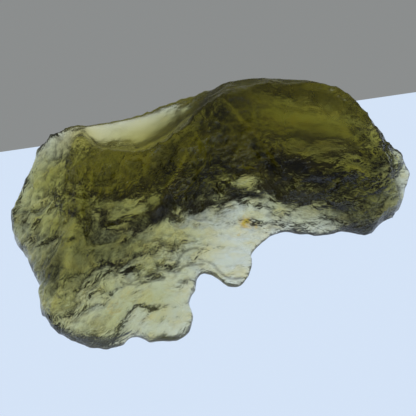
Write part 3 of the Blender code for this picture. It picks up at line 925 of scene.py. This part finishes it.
def combined(tree, operation, first, second):
    node = tree.nodes.new("ShaderNodeMath")
    node.operation = operation
    tree.links.new(first, node.inputs[0])
    tree.links.new(second, node.inputs[1])
    return node.outputs["Value"]


def in_pits(tree, places):
    """How much of the painted shade falls here: 1 in the middle of the pits, and less on the ridges between
    them.
    """
    total = None
    for size, _ in PITS:
        away = cells(tree, places, size, "F1")
        total = combined(tree, "ADD", total, away) if total else away
    return ranged(tree, total, PIT_FLOOR, PIT_RIM, 1, PIT_RIM_SHADE)


def clear_of_wrinkles(tree, places):
    """1 on the scales of glass, and less in the painted shade of the wrinkles between them, which come and
    go.
    """
    left = None
    for size, width, dark in WRINKLE_SHADE:
        line = ranged(tree, cells(tree, places, size, "DISTANCE_TO_EDGE"), 0, width, dark, 0)
        patches = mottle(tree, places, WRINKLE_PATCH * size)
        here = ranged(tree, patches, WRINKLE_START, WRINKLE_FULL, 0, 1)
        clear = less(tree, combined(tree, "MULTIPLY", line, here))
        left = combined(tree, "MULTIPLY", left, clear) if left else clear
    return left


def skin_colour(tree):
    """Clear glass, with thin films and stains of iron, and with painted shade in its hollows and wrinkles."""
    places = kept(tree, "drawn out", "Vector")
    patches = ranged(tree, mottle(tree, places, IRON_FILM_SIZE), IRON_FILM_START, IRON_FILM_FULL, 0, 1)
    filmed = combined(tree, "MAXIMUM", patches, kept(tree, "film", "Fac"))
    colour = mixed(tree, filmed, (1.0, 1.0, 1.0), IRON_FILM_COLOUR)
    tears = mottle(tree, places, STAIN_TEAR_SIZE)
    torn = ranged(tree, tears, STAIN_TEAR_LOW, STAIN_TEAR_HIGH, -STAIN_TEAR, STAIN_TEAR)
    strength = combined(tree, "ADD", kept(tree, "iron", "Fac"), torn)
    colour = mixed(tree, ranged(tree, strength, STAIN_START, STAIN_FULL, 0, 1), colour, IRON_COLOUR)
    # Painted shade, deepest in the middles of the pits, mixed in as near-black.
    clear = less(tree, combined(tree, "MULTIPLY", kept(tree, "painted_shade", "Fac"), in_pits(tree, places)))
    colour = mixed(tree, combined(tree, "MULTIPLY", clear, clear), PAINTED_SHADE_COLOUR, colour)
    # Painted shade in the wrinkles, as near-black lines.
    wrinkles = less(tree, clear_of_wrinkles(tree, places))
    wrinkles = combined(tree, "MULTIPLY", wrinkles, kept(tree, "wrinkle_shaded", "Fac"))
    return mixed(tree, wrinkles, colour, PAINTED_SHADE_COLOUR)


def glass():
    material = bpy.data.materials.new("moldavite glass")
    material.use_nodes = True
    tree = material.node_tree
    nodes, links = tree.nodes, tree.links
    surface = nodes["Principled BSDF"]
    surface.inputs["IOR"].default_value = GLASS_IOR
    surface.inputs["Transmission Weight"].default_value = 1.0
    rough = kept(tree, "rough", "Fac")
    links.new(ranged(tree, rough, 0, 1, CALM_SHINE, ROUGH_SHINE), surface.inputs["Roughness"])
    normal = None
    for size, deep in PITS:
        normal = pits(tree, kept(tree, "drawn out", "Vector"), rough, size, deep, normal)
    links.new(normal, surface.inputs["Normal"])
    links.new(skin_colour(tree), surface.inputs["Base Color"])
    inside = nodes.new("ShaderNodeVolumeAbsorption")
    inside.inputs["Color"].default_value = (*(1 - taken / DENSITY for taken in ABSORPTION), 1.0)
    inside.inputs["Density"].default_value = DENSITY
    links.new(inside.outputs["Volume"], nodes["Material Output"].inputs["Volume"])
    return material


def luminous(name, colour):
    material = bpy.data.materials.new(name)
    material.use_nodes = True
    surface = material.node_tree.nodes["Principled BSDF"]
    surface.inputs["Base Color"].default_value = (0.0, 0.0, 0.0, 1.0)
    surface.inputs["Specular IOR Level"].default_value = 0.0
    surface.inputs["Emission Color"].default_value = (*colour, 1.0)
    surface.inputs["Emission Strength"].default_value = 1.0
    return material


def flat(name, outline, height, colour, shift):
    """A level sheet of one face, which is part of the stage."""
    mesh = bpy.data.meshes.new(name)
    shape = bmesh.new()
    corners = [shape.verts.new(Vector((x, y, height)) * MM + shift) for x, y in outline]
    shape.faces.new(corners)
    shape.to_mesh(mesh)
    shape.free()
    mesh.materials.append(luminous(name, colour))
    sheet = bpy.data.objects.new(name, mesh)
    bpy.context.scene.collection.objects.link(sheet)


def stage(shift):
    """The sheet, with its far edge carried on to both of its sides, and the ground beyond."""
    (x0, y0), (x1, y1) = SHEET_EDGE
    rise = (y1 - y0) / (x1 - x0)
    left, right = y0 - (SHEET_HALF_WIDTH + x0) * rise, y1 + (SHEET_HALF_WIDTH - x1) * rise
    wide, far = SHEET_HALF_WIDTH, BEYOND_HALF_WIDTH
    sheet = ((-wide, SHEET_FRONT), (wide, SHEET_FRONT), (wide, right), (-wide, left))
    beyond = ((-far, -far), (far, -far), (far, far), (-far, far))
    flat("sheet", sheet, -SHEET_DROP, SHEET_COLOUR, shift)
    flat("beyond", beyond, -BEYOND_DROP, BEYOND_COLOUR, shift)


def sky():
    world = bpy.data.worlds.new("sky")
    world.use_nodes = True
    background = world.node_tree.nodes["Background"]
    background.inputs["Color"].default_value = (*SKY_COLOUR, 1.0)
    background.inputs["Strength"].default_value = SKY_STRENGTH
    bpy.context.scene.world = world


def camera(shift):
    data = bpy.data.cameras.new("camera")
    data.lens, data.sensor_width = LENS, SENSOR
    data.clip_start = NEAREST * MM
    eye = bpy.data.objects.new("camera", data)
    tilt = math.radians(TILT)
    back = Vector((0, -math.cos(tilt), math.sin(tilt))) * DISTANCE
    eye.location = (Vector((0, 0, AIM_HEIGHT)) + back) * MM + shift
    eye.rotation_euler = (math.pi / 2 - tilt, 0, 0)
    bpy.context.scene.collection.objects.link(eye)
    bpy.context.scene.camera = eye


def moldavite():
    noise.seed_set(NOISE_SEED)
    top, under = films()
    stone = bpy.data.objects.new("moldavite_glass", slab())
    bpy.context.scene.collection.objects.link(stone)
    remeshed(stone, "slab", SLAB_GRAIN)
    lift(stone, top, under)
    remeshed(stone, "lifted", GRAIN)
    sculpt(stone)
    remeshed(stone, "sculpted", GRAIN)
    skin(stone)
    shift = fitted(stone)
    stone.data.shade_smooth()
    stone.data.materials.clear()
    stone.data.materials.append(glass())
    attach(stone, "root")
    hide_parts("moldavite")
    return Vector((shift[0], shift[1], 0))


def main():
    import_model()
    shift = moldavite()
    stage(shift)
    sky()
    camera(shift)
    bpy.context.scene.view_settings.view_transform = "Standard"


main()
